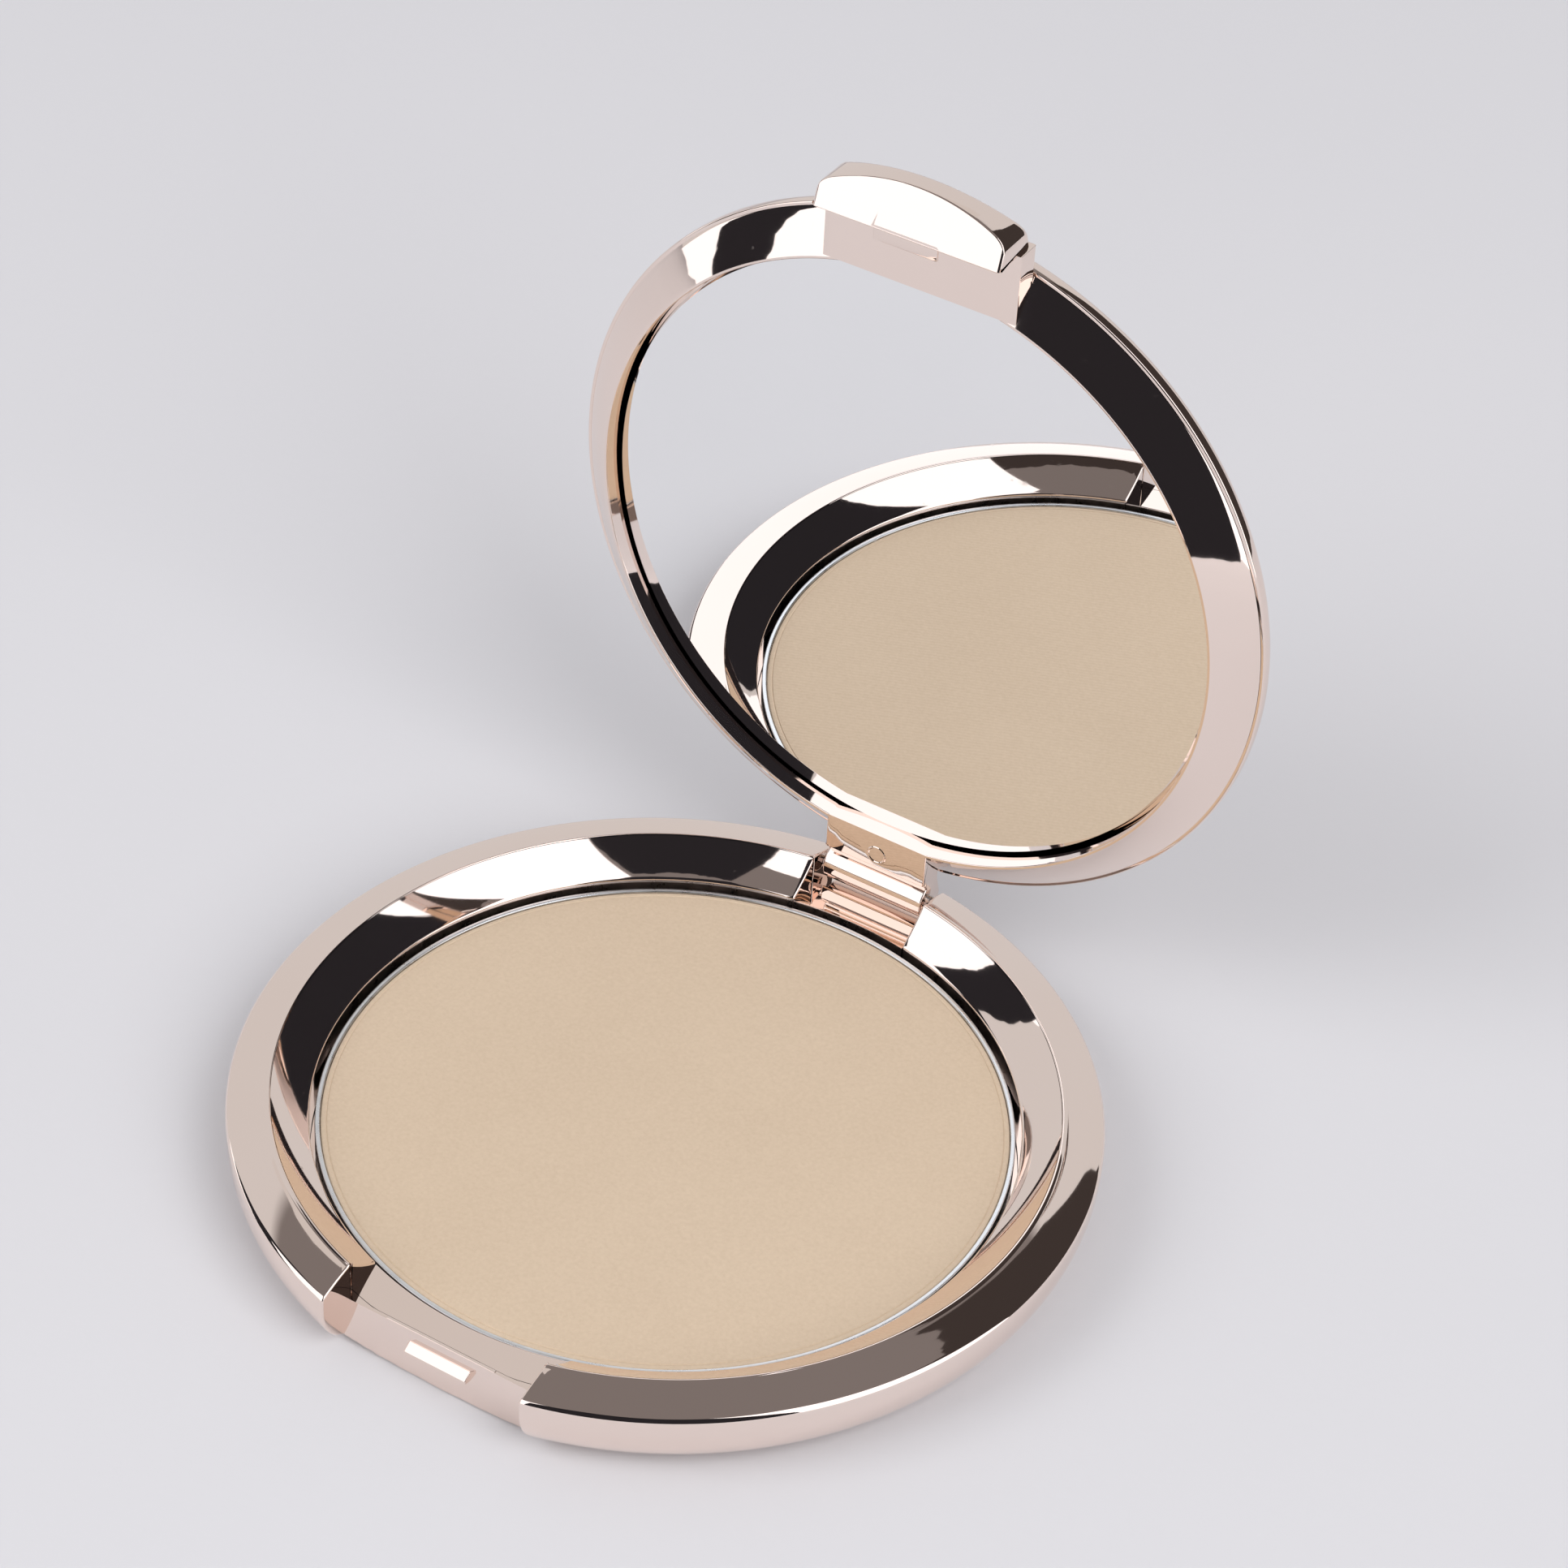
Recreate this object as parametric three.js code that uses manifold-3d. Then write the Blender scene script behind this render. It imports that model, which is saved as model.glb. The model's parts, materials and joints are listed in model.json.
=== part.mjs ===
// Round powder compact, lid open. Millimetres, +Z up, the base rests on z = 0, hinge towards +Y, latch towards -Y.
// Every sub-part is drawn with the lid closed; the lid's group then turns about the hinge pin.
import * as THREE from "three";
import { mergeVertices } from "three/addons/utils/BufferGeometryUtils.js";
import Module from "manifold-3d";

const wasm = await Module();
wasm.setup();

const SEGMENTS = 72;
const PIN_SEGMENTS = 16;
const KNUCKLE_SEGMENTS = 28;
// How far a cutting box reaches past what it cuts.
const OVERSHOOT = 1;

// Base tray
const RIM_RADIUS = 36.65;
const RIM_HEIGHT = 7.05;
const RIM_EDGE = 0.3;
const CREST_RADIUS = 33.05;
const CREST_HEIGHT = 8;
const CREST_EDGE = 0.1;
const BAND_SAG = 0.12;
const BOWL_ROUNDING = 5.6;
const TRAY_FLOOR = 1.3;
const TRAY_BORE = 31.2;
const RABBET_RADIUS = 32.85;
const RABBET_FLOOR = 4.1;

// Latch pocket at the front of the base
const POCKET_HALF = 9.35;
const POCKET_WALL_Y = -32.25;
const LIP_THICKNESS = 0.3;
const LIP_HALF = 5.2;
const LIP_RISE = 0.12;
const RIB_HALF = 2.95;
const RIB_REACH = 0.8;
const RIB_TOP = 3.95;
const RIB_BOTTOM = 2.95;
const RIB_ROOT = 0.2;
const RIB_LOWER_SLOPE = 0.2;
const RIB_UPPER_SLOPE = 0.5;
const WALL_ROOT = 0.5;
const OVER_WALL_Y = -24.85;

// Hinge
const HINGE_Y = 34.82;
const HINGE_Z = 6.7;
const OPEN_ANGLE = THREE.MathUtils.degToRad(89);
const PIN_RADIUS = 0.4;
const PIN_HALF = 7;
const PIN_CLEARANCE = 0.09;
const HINGE_GAP_HALF = 5.6;
const HINGE_GAP_FLOOR = 4.3;
const KNUCKLE_RADIUS = 1.75;
const KNUCKLE_HALF = 5.05;

// Inner ring of the base
const FRAME_GAP = 0.3;
const WELL_RADIUS = 29.9;
const WELL_EDGE = 0.1;
const INSIDE_WELL = 20;
const LEDGE_HEIGHT = 5;
const SKIRT_RADIUS = 30.9;
const SKIRT_FOOT = 1.6;
const COVE_SAG = 0.32;
const FRAME_TOP = 7.7;

// Pan and powder
const PAN_RADIUS = 29.5;
const PAN_WALL = 0.45;
const PAN_FLOOR = 1.8;
const PAN_RIM = 4.7;
const PAN_EDGE = 0.4;
const PAD_INSET = 4;
const PAD_GAP = 0.12;
const CAKE_GAP = 0.2;
const CAKE_EDGE = 4.5;
const CAKE_DOME = 0.15;
const CAKE_CHAMFER_WIDTH = 0.3;
const CAKE_CHAMFER_DEPTH = 0.2;

// Lid
const LID_FACE = 5.25;
const LID_CREST_RADIUS = 29.35;
const RECESS_RADIUS = 29.1;
const RECESS_EDGE = 0.12;
const LID_BAND_RADIUS = 32.55;
const LID_BAND_TOP = 7.95;
const LID_BAND_SAG = 0.22;
const FLANGE_TOP = 8.1;
const PLATE_RADIUS = 31.55;
const PLATE_BOTTOM = 8.6;
const PLATE_TOP = 9.2;
const COVER_RADIUS = 32.9;
const COVER_FOOT = 8.25;
const COVER_INNER_RADIUS = 31.85;
const COVER_CEILING = 9.4;
const COVER_ROUNDING = 1.2;
const COVER_SHOULDER = 9.9;
const COVER_CROWN = 10.6;
const COVER_EDGE = 0.08;
const MIRROR_RADIUS = 28.8;
const MIRROR_FACE = 6.95;
const MIRROR_THICKNESS = 1.1;
const MIRROR_EDGE = 0.25;
const MIRROR_PAD_RADIUS = 27.5;
const MIRROR_PAD_THICKNESS = 0.25;
const MIRROR_PAD_GAP = 0.15;

// Landing block, latch tab and hook of the lid
const BLOCK_HALF = 8.9;
const BLOCK_INNER_Y = -28;
const BLOCK_TOP = 7.55;
const TAB_HALF = 8.55;
const TAB_INNER_Y = -34.3;
const TAB_CORNER_Y = -36.35;
const TAB_TIP_Y = -38.35;
const TAB_CORNER_ROUND = 0.9;
const TAB_CORNER_BACK = 0.54;
const TAB_CORNER_SIDE = 0.225;
const TAB_FOOT = 2.4;
const TAB_ROOT_Y = -32.3;
const TAB_ROOT_Z = 8.05;
const TAB_NOSE_Z = 5.85;
const TAB_NOSE_ROUND = 0.7;
const TAB_NOSE_MID_Y = -38.175;
const TAB_NOSE_MID_Z = 5.64;
const TAB_NOSE_RISE = 0.15;
const HOOK_HALF = 2.9;
const HOOK_TIP_Y = -33.2;
const HOOK_TOP = 2.85;
const HOOK_ROOT = 0.3;
const HOOK_LIFT = 0.02;
const HOOK_TIP_DEPTH = 0.25;

// Block that carries the lid's knuckle
const HINGE_BLOCK_INNER_Y = 28.7;
const HINGE_BLOCK_TOP = 7.9;

const AXES = [new THREE.Vector3(0, 1, 0), new THREE.Vector3(0, 0, 1), new THREE.Vector3(1, 0, 0)];

// ---- shape helpers

function point(x, y) {
  return new THREE.Vector2(x, y);
}

// Points of a circular arc about (cx, cy), both ends included.
function arc(cx, cy, radius, from, to, steps) {
  const points = [];
  for (let i = 0; i <= steps; i++) {
    const a = from + ((to - from) * i) / steps;
    points.push(point(cx + radius * Math.cos(a), cy + radius * Math.sin(a)));
  }
  return points;
}

// Points of a shallow arc from p to q that swells by `sag` to the left of the way from p to q.
function swell(p, q, sag, steps) {
  const along = q.clone().sub(p);
  const left = point(-along.y, along.x).normalize();
  const points = [];
  for (let i = 0; i <= steps; i++) {
    const t = i / steps;
    const lift = 4 * sag * t * (1 - t);
    points.push(p.clone().addScaledVector(along, t).addScaledVector(left, lift));
  }
  return points;
}

// A body of revolution about Z from a closed (radius, height) outline.
function turned(outline, segments = SEGMENTS) {
  const closed = [...outline, outline[0].clone()];
  return new THREE.LatheGeometry(closed, segments).rotateX(Math.PI / 2);
}

function disc(radius, bottom, top) {
  return turned([point(0, bottom), point(radius, bottom), point(radius, top), point(0, top)]);
}

// A flat outline in X and Y raised from z = bottom to z = top.
function raised(points, bottom, top) {
  const options = { depth: top - bottom, bevelEnabled: false };
  return new THREE.ExtrudeGeometry(new THREE.Shape(points), options).translate(0, 0, bottom);
}

// An outline in Y and Z drawn across X, from -half to +half.
function across(points, half) {
  const options = { depth: 2 * half, bevelEnabled: false };
  const geometry = new THREE.ExtrudeGeometry(new THREE.Shape(points), options).translate(0, 0, -half);
  return geometry.applyMatrix4(new THREE.Matrix4().makeBasis(...AXES));
}

function box(x0, x1, y0, y1, z0, z1) {
  const geometry = new THREE.BoxGeometry(x1 - x0, y1 - y0, z1 - z0);
  return geometry.translate((x0 + x1) / 2, (y0 + y1) / 2, (z0 + z1) / 2);
}

// A rod along X through the hinge line.
function hingeRod(radius, half, segments) {
  const rod = new THREE.CylinderGeometry(radius, radius, 2 * half, segments);
  return rod.rotateZ(Math.PI / 2).translate(0, HINGE_Y, HINGE_Z);
}

function solid(geometry) {
  const bare = geometry.clone();
  bare.deleteAttribute("normal");
  bare.deleteAttribute("uv");
  const merged = mergeVertices(bare, 1e-4);
  const mesh = new wasm.Mesh({
    numProp: 3,
    vertProperties: merged.attributes.position.array,
    triVerts: new Uint32Array(merged.index.array),
  });
  return new wasm.Manifold(mesh);
}

function named(name, body, material) {
  const mesh = body.getMesh();
  const geometry = new THREE.BufferGeometry();
  geometry.setAttribute("position", new THREE.BufferAttribute(new Float32Array(mesh.vertProperties), 3));
  geometry.setIndex(new THREE.BufferAttribute(new Uint32Array(mesh.triVerts), 1));
  const faceted = geometry.toNonIndexed();
  faceted.computeVertexNormals();
  const piece = new THREE.Mesh(faceted, material);
  piece.name = name;
  return piece;
}

// ---- materials

function plated() {
  return new THREE.MeshStandardMaterial({ color: "#e2ccbd", roughness: 0.08, metalness: 1 });
}

function aluminium() {
  return new THREE.MeshStandardMaterial({ color: "#c9cbcf", roughness: 0.3, metalness: 1 });
}

function steel() {
  return new THREE.MeshStandardMaterial({ color: "#b8babd", roughness: 0.25, metalness: 1 });
}

function pressedPowder() {
  return new THREE.MeshStandardMaterial({ color: "#d8c1a5", roughness: 0.95, metalness: 0 });
}

function silveredGlass() {
  return new THREE.MeshStandardMaterial({ color: "#e4e6ea", roughness: 0.02, metalness: 1 });
}

function adhesive() {
  return new THREE.MeshStandardMaterial({ color: "#e9e7e1", roughness: 0.8, metalness: 0 });
}

// ---- base

function trayOutline() {
  const bowlCentre = RIM_RADIUS - BOWL_ROUNDING;
  return [
    point(0, 0),
    ...arc(bowlCentre, BOWL_ROUNDING, BOWL_ROUNDING, -Math.PI / 2, 0, 7),
    point(RIM_RADIUS, RIM_HEIGHT - RIM_EDGE),
    ...swell(point(RIM_RADIUS - RIM_EDGE, RIM_HEIGHT), point(CREST_RADIUS, CREST_HEIGHT), -BAND_SAG, 4),
    point(RABBET_RADIUS, CREST_HEIGHT - CREST_EDGE),
    point(RABBET_RADIUS, RABBET_FLOOR),
    point(TRAY_BORE, RABBET_FLOOR),
    point(TRAY_BORE, TRAY_FLOOR),
    point(0, TRAY_FLOOR),
  ];
}

// The pocket wall stays standing in front of the ring, with a lip along its middle.
function pocketWall() {
  const back = POCKET_WALL_Y + LIP_THICKNESS;
  const root = RABBET_FLOOR - WALL_ROOT;
  const wall = solid(box(-POCKET_HALF, POCKET_HALF, POCKET_WALL_Y, back, root, LEDGE_HEIGHT));
  const lip = solid(box(-LIP_HALF, LIP_HALF, POCKET_WALL_Y, back, root, LEDGE_HEIGHT + LIP_RISE));
  return wall.add(lip);
}

function catchRib() {
  const foot = POCKET_WALL_Y + RIB_ROOT;
  const tip = POCKET_WALL_Y - RIB_REACH;
  return across(
    [
      point(foot, RIB_BOTTOM),
      point(POCKET_WALL_Y, RIB_BOTTOM),
      point(tip, RIB_BOTTOM + RIB_LOWER_SLOPE),
      point(tip, RIB_TOP - RIB_UPPER_SLOPE),
      point(POCKET_WALL_Y, RIB_TOP),
      point(foot, RIB_TOP),
    ],
    RIB_HALF,
  );
}

function baseShell() {
  const outside = RIM_RADIUS + OVERSHOOT;
  const above = CREST_HEIGHT + OVERSHOOT;
  const pocket = box(-POCKET_HALF, POCKET_HALF, -outside, POCKET_WALL_Y, -OVERSHOOT, above);
  const overWall = box(-POCKET_HALF, POCKET_HALF, -outside, OVER_WALL_Y, LEDGE_HEIGHT, above);
  const gap = box(-HINGE_GAP_HALF, HINGE_GAP_HALF, SKIRT_RADIUS, outside, HINGE_GAP_FLOOR, above);
  return solid(turned(trayOutline()))
    .subtract(solid(overWall))
    .add(pocketWall())
    .subtract(solid(pocket))
    .add(solid(catchRib()))
    .subtract(solid(gap))
    .subtract(solid(hingeRod(PIN_RADIUS + PIN_CLEARANCE, PIN_HALF + PIN_CLEARANCE, PIN_SEGMENTS)));
}

function baseFrame() {
  const outer = RABBET_RADIUS - FRAME_GAP;
  const ring = turned([
    point(WELL_RADIUS, SKIRT_FOOT),
    point(SKIRT_RADIUS, SKIRT_FOOT),
    point(SKIRT_RADIUS, RABBET_FLOOR + FRAME_GAP),
    point(outer, RABBET_FLOOR + FRAME_GAP),
    ...swell(point(outer, FRAME_TOP), point(WELL_RADIUS + WELL_EDGE, LEDGE_HEIGHT), COVE_SAG, 6),
    point(WELL_RADIUS, LEDGE_HEIGHT - WELL_EDGE),
  ]);
  const front = POCKET_WALL_Y + LIP_THICKNESS + FRAME_GAP;
  const overLedge = box(-POCKET_HALF, POCKET_HALF, -RIM_RADIUS, -INSIDE_WELL, LEDGE_HEIGHT, CREST_HEIGHT);
  const pastCorner = box(-POCKET_HALF, POCKET_HALF, -RIM_RADIUS, front, 0, CREST_HEIGHT);
  const gap = box(-HINGE_GAP_HALF, HINGE_GAP_HALF, INSIDE_WELL, RIM_RADIUS, LEDGE_HEIGHT, CREST_HEIGHT);
  return solid(ring)
    .subtract(solid(overLedge))
    .subtract(solid(pastCorner))
    .subtract(solid(gap));
}

function panPad() {
  return solid(disc(PAN_RADIUS - PAD_INSET, TRAY_FLOOR + PAD_GAP, PAN_FLOOR - PAD_GAP));
}

function powderPan() {
  return solid(
    turned([
      point(0, PAN_FLOOR),
      point(PAN_RADIUS - PAN_EDGE, PAN_FLOOR),
      point(PAN_RADIUS, PAN_FLOOR + PAN_EDGE),
      point(PAN_RADIUS, PAN_RIM),
      point(PAN_RADIUS - PAN_WALL, PAN_RIM),
      point(PAN_RADIUS - PAN_WALL, PAN_FLOOR + PAN_WALL),
      point(0, PAN_FLOOR + PAN_WALL),
    ]),
  );
}

function powderCake() {
  const radius = PAN_RADIUS - PAN_WALL - CAKE_GAP;
  const bottom = PAN_FLOOR + PAN_WALL + CAKE_GAP;
  return solid(
    turned([
      point(0, bottom),
      point(radius, bottom),
      point(radius, CAKE_EDGE - CAKE_CHAMFER_DEPTH),
      point(radius - CAKE_CHAMFER_WIDTH, CAKE_EDGE),
      point(0, CAKE_EDGE + CAKE_DOME),
    ]),
  );
}

function hingePin() {
  return solid(hingeRod(PIN_RADIUS, PIN_HALF, PIN_SEGMENTS));
}

// ---- lid, drawn closed

function lidRing() {
  return turned([
    point(0, PLATE_BOTTOM),
    point(RECESS_RADIUS, PLATE_BOTTOM),
    point(RECESS_RADIUS, LID_FACE + RECESS_EDGE),
    point(RECESS_RADIUS + RECESS_EDGE, LID_FACE),
    ...swell(point(LID_CREST_RADIUS, LID_FACE), point(LID_BAND_RADIUS, LID_BAND_TOP), -LID_BAND_SAG, 5),
    point(LID_BAND_RADIUS, FLANGE_TOP),
    point(PLATE_RADIUS, FLANGE_TOP),
    point(PLATE_RADIUS, PLATE_TOP),
    point(0, PLATE_TOP),
  ]);
}

// Plan of the tab: straight back and sides, rounded corners, a nose that bows out.
function tabPlan() {
  const rise = TAB_CORNER_Y - TAB_TIP_Y;
  const bow = (TAB_HALF * TAB_HALF + rise * rise) / (2 * rise);
  const centreY = TAB_TIP_Y + bow;
  const reach = Math.asin((TAB_HALF - TAB_CORNER_ROUND) / bow);
  const corner = TAB_CORNER_Y + TAB_CORNER_BACK;
  return [
    point(-TAB_HALF, TAB_ROOT_Y),
    point(-TAB_HALF, corner),
    point(-TAB_HALF + TAB_CORNER_SIDE, TAB_CORNER_Y),
    ...arc(0, centreY, bow, -Math.PI / 2 - reach, -Math.PI / 2 + reach, 14),
    point(TAB_HALF - TAB_CORNER_SIDE, TAB_CORNER_Y),
    point(TAB_HALF, corner),
    point(TAB_HALF, TAB_ROOT_Y),
  ];
}

// Side view of the tab: foot, nose and the top that slopes down from the lid.
function tabSide() {
  return [
    point(TAB_INNER_Y, TAB_FOOT),
    point(TAB_TIP_Y - OVERSHOOT, TAB_FOOT),
    point(TAB_TIP_Y - OVERSHOOT, TAB_NOSE_Z - TAB_NOSE_ROUND),
    point(TAB_TIP_Y, TAB_NOSE_Z - TAB_NOSE_ROUND),
    point(TAB_NOSE_MID_Y, TAB_NOSE_MID_Z),
    point(TAB_TIP_Y + TAB_NOSE_ROUND, TAB_NOSE_Z + TAB_NOSE_RISE),
    point(TAB_ROOT_Y, TAB_ROOT_Z),
    point(TAB_ROOT_Y, LID_FACE),
    point(TAB_INNER_Y, LID_FACE),
  ];
}

// The hook leans in from the tab's inner face, with a lead-in below.
function hook() {
  return across(
    [
      point(TAB_INNER_Y - HOOK_ROOT, TAB_FOOT + HOOK_LIFT),
      point(TAB_INNER_Y, TAB_FOOT + HOOK_LIFT),
      point(HOOK_TIP_Y, HOOK_TOP - HOOK_TIP_DEPTH),
      point(HOOK_TIP_Y, HOOK_TOP),
      point(TAB_INNER_Y - HOOK_ROOT, HOOK_TOP),
    ],
    HOOK_HALF,
  );
}

function hingeBlock() {
  const block = box(-KNUCKLE_HALF, KNUCKLE_HALF, HINGE_BLOCK_INNER_Y, HINGE_Y, LID_FACE, HINGE_BLOCK_TOP);
  return solid(block).add(solid(hingeRod(KNUCKLE_RADIUS, KNUCKLE_HALF, KNUCKLE_SEGMENTS)));
}

function lidFrame() {
  const landing = box(-BLOCK_HALF, BLOCK_HALF, TAB_INNER_Y, BLOCK_INNER_Y, LID_FACE, BLOCK_TOP);
  const plan = solid(raised(tabPlan(), TAB_FOOT - OVERSHOOT, COVER_CROWN));
  const tab = plan.intersect(solid(across(tabSide(), TAB_HALF + OVERSHOOT)));
  const recess = disc(RECESS_RADIUS, LID_FACE - OVERSHOOT, PLATE_BOTTOM);
  return solid(lidRing())
    .add(solid(landing))
    .add(tab)
    .add(solid(hook()))
    .add(hingeBlock())
    .subtract(solid(recess))
    .subtract(solid(hingeRod(PIN_RADIUS + PIN_CLEARANCE, KNUCKLE_HALF + OVERSHOOT, PIN_SEGMENTS)));
}

function lidCover() {
  const shoulder = COVER_RADIUS - COVER_ROUNDING;
  const rise = COVER_CROWN - COVER_SHOULDER;
  const dome = (shoulder * shoulder + rise * rise) / (2 * rise);
  const spread = Math.asin(shoulder / dome);
  return solid(
    turned([
      point(0, COVER_CEILING),
      point(COVER_INNER_RADIUS, COVER_CEILING),
      point(COVER_INNER_RADIUS, COVER_FOOT),
      point(COVER_RADIUS - COVER_EDGE, COVER_FOOT),
      point(COVER_RADIUS, COVER_FOOT + COVER_EDGE),
      ...arc(shoulder, COVER_SHOULDER - COVER_ROUNDING, COVER_ROUNDING, 0, Math.PI / 2 - spread, 5),
      ...arc(0, COVER_CROWN - dome, dome, Math.PI / 2 - spread, Math.PI / 2, 5).slice(1),
    ]),
  );
}

function mirror() {
  const back = MIRROR_FACE + MIRROR_THICKNESS;
  return solid(
    turned([
      point(0, MIRROR_FACE),
      point(MIRROR_RADIUS - MIRROR_EDGE, MIRROR_FACE),
      point(MIRROR_RADIUS, MIRROR_FACE + MIRROR_EDGE),
      point(MIRROR_RADIUS, back),
      point(0, back),
    ]),
  );
}

function mirrorPad() {
  const bottom = MIRROR_FACE + MIRROR_THICKNESS + MIRROR_PAD_GAP;
  return solid(disc(MIRROR_PAD_RADIUS, bottom, bottom + MIRROR_PAD_THICKNESS));
}

// ---- assembly

const compact = new THREE.Group();
compact.name = "powder_compact";

const base = new THREE.Group();
base.name = "base";
base.add(
  named("base_shell", baseShell(), plated()),
  named("base_frame", baseFrame(), plated()),
  named("pan_pad", panPad(), adhesive()),
  named("powder_pan", powderPan(), aluminium()),
  named("powder_cake", powderCake(), pressedPowder()),
  named("hinge_pin", hingePin(), steel()),
);

// The lid's pieces keep their closed coordinates inside a group that turns about the pin.
const lidPieces = new THREE.Group();
lidPieces.position.set(0, -HINGE_Y, -HINGE_Z);
lidPieces.add(
  named("lid_frame", lidFrame(), plated()),
  named("lid_cover", lidCover(), plated()),
  named("mirror_pad", mirrorPad(), adhesive()),
  named("mirror", mirror(), silveredGlass()),
);
const lid = new THREE.Group();
lid.name = "lid";
lid.position.set(0, HINGE_Y, HINGE_Z);
lid.rotation.x = -OPEN_ANGLE;
lid.add(lidPieces);

compact.add(base, lid);

export default compact;
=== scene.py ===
"""Looks for a round mirrored powder compact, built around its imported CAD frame.

Shapes are drawn in millimetres with the lid shut, as the part is drawn, and scaled to metres.
"""
import json
import math

import bmesh
import bpy
from mathutils import Matrix, Vector, noise


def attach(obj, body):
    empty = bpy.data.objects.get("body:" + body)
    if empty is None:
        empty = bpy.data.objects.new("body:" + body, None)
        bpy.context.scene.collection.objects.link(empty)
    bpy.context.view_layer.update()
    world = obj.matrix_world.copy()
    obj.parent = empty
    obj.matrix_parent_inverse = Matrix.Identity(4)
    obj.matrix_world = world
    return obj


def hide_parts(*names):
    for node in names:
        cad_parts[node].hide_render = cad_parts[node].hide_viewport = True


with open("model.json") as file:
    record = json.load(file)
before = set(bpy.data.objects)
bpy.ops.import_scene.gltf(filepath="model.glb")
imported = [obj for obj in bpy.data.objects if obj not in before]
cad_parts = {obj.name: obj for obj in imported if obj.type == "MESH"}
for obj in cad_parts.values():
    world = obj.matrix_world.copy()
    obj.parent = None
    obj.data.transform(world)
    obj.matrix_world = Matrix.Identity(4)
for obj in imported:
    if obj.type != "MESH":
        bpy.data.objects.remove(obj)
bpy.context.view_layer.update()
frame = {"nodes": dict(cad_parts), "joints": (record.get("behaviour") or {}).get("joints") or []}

MM = 0.001
SHARP_ANGLE = math.radians(32)
WELD = 2e-4

# Mesh fineness: columns of a whole turn, and of a notched body's sides and notches
TURN_COLUMNS = 360
SIDE_COLUMNS = 150
FRONT_COLUMNS = 24
GAP_COLUMNS = 14
EDGE_STEPS = 4

# ---- driving dimensions, millimetres

hinge = frame["joints"][0]
HINGE_Y = hinge["pos_m"][1] / MM
HINGE_Z = hinge["pos_m"][2] / MM
OPEN_ANGLE = math.radians(hinge["range_deg"][1])
PIVOT = Vector((0, HINGE_Y * MM, HINGE_Z * MM))


def about_hinge(angle):
    """The turn about the hinge line that opens the lid by this angle."""
    return Matrix.Translation(PIVOT) @ Matrix.Rotation(-angle, 4, "X") @ Matrix.Translation(-PIVOT)


def reach(node, shut=False):
    """Lowest and highest corner of a CAD node in millimetres, with the lid shut if that is asked for."""
    turn = about_hinge(-OPEN_ANGLE if shut else 0.0)
    points = [(turn @ v.co) / MM for v in frame["nodes"][node].data.vertices]
    low, high = (Vector(pick(p[i] for p in points) for i in range(3)) for pick in (min, max))
    return low, high


shell_high = reach("base_shell")[1]
pan_low, pan_high = reach("powder_pan")
frame_low, frame_high = reach("lid_frame", shut=True)
cover_high = reach("lid_cover", shut=True)[1]
mirror_low, mirror_high = reach("mirror", shut=True)

RIM_RADIUS = shell_high.x
RIM_HEIGHT = 7.02
RIM_ROUND = 0.55
SIDE_TOP = 6.0
CREST_RADIUS = 33.0
CREST_HEIGHT = shell_high.z
CREST_ROUND = 0.16
CREST_ROUND_CENTRE = CREST_RADIUS + 0.1
BAND_SAG = 0.06
BOWL_ROUNDING = 5.6
MID_FLOOR = 20
TRAY_FLOOR = 1.3
TRAY_BORE = 31.2
SHELF = 4.1
SEAM_RADIUS = CREST_RADIUS - 0.04
SEAM_TAPER = 0.03
SEAM_TOP = CREST_HEIGHT - 0.1
SHELF_GAP = 0.02

# the front pocket and the rear gap
POCKET_HALF = 9.35
POCKET_WALL_Y = -32.6
SEAM_WALL_Y = -32.3
NOTCH_ROUND = 0.2
HINGE_GAP_HALF = 5.6
HINGE_GAP_FLOOR = 4.3
RIB_HALF = 2.95
RIB_DEPTH = 0.78
RIB_FOOT = 2.95
RIB_TOP = 3.95
LIP_HALF = 5.2
LIP_RISE = 0.05
LIP_ROOT = 0.3
LIP_BACK = 0.28

# the inner ring with its well
WELL_RADIUS = 29.8
WELL_ROUND = 0.22
WELL_HEIGHT = 5.45
WELL_SLOPE = math.radians(33)
LEDGE_HEIGHT = 5.17
COVE_SAG = 0.12
SKIRT_RADIUS = 30.9
SKIRT_FOOT = 1.6

PAN_RADIUS = pan_high.x - 0.15
PAN_WALL = 0.45
PAN_FLOOR = pan_low.z
PAN_RIM = 4.73
PAN_CORNER = 0.6
CAKE_RADIUS = PAN_RADIUS - PAN_WALL - 0.03
CAKE_BOTTOM = PAN_FLOOR + PAN_WALL + 0.2
CAKE_TOP = PAN_RIM - 0.05
CAKE_DOME = 0.04

# the lid, with its heights taken when shut
LID_FACE = 5.25
RECESS_RADIUS = 29.1
LID_CREST_RADIUS = 29.35
LID_BAND_RADIUS = 32.55
LID_BAND_TOP = 7.95
LID_BAND_SAG = 0.08
PLATE_BOTTOM = 8.6
PLATE_TOP = frame_high.z
PLATE_RADIUS = 31.55
COVER_RADIUS = cover_high.x
COVER_FOOT = 8.0
COVER_INNER = 31.7
COVER_CEILING = PLATE_TOP + 0.15
COVER_SHOULDER = 9.9
COVER_CROWN = cover_high.z
COVER_ROUND = 1.2
MIRROR_RADIUS = mirror_high.x
MIRROR_FACE = mirror_low.z
MIRROR_BACK = mirror_high.z

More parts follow.
